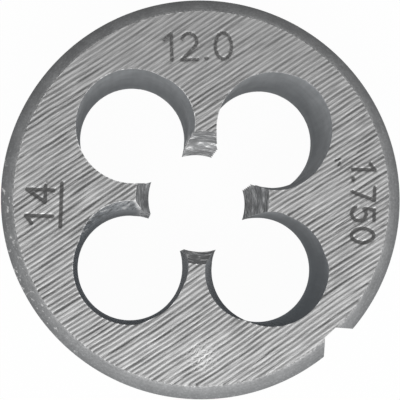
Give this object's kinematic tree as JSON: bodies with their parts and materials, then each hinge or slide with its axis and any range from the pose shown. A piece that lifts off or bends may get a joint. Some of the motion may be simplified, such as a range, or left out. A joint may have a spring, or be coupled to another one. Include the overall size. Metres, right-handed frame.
{
  "type": "round threading die",
  "caption": "Round steel die with a threaded bore, chip holes, cutting lands and a notched rim; cuts an outside thread on a rod.",
  "frame": {"origin": "centre of the back face, on the axis of the bore", "axes": "+Z along the bore towards the front face; +X and +Y each through the middle of a land; the rim notch lies between +X and -Y"},
  "size_m": [0.038, 0.038, 0.014],
  "materials": {
    "die_steel": "ground faces, dull turned rim"
  },
  "bodies": {
    "root": {"threading_die": "die_steel"}
  },
  "joints": []
}
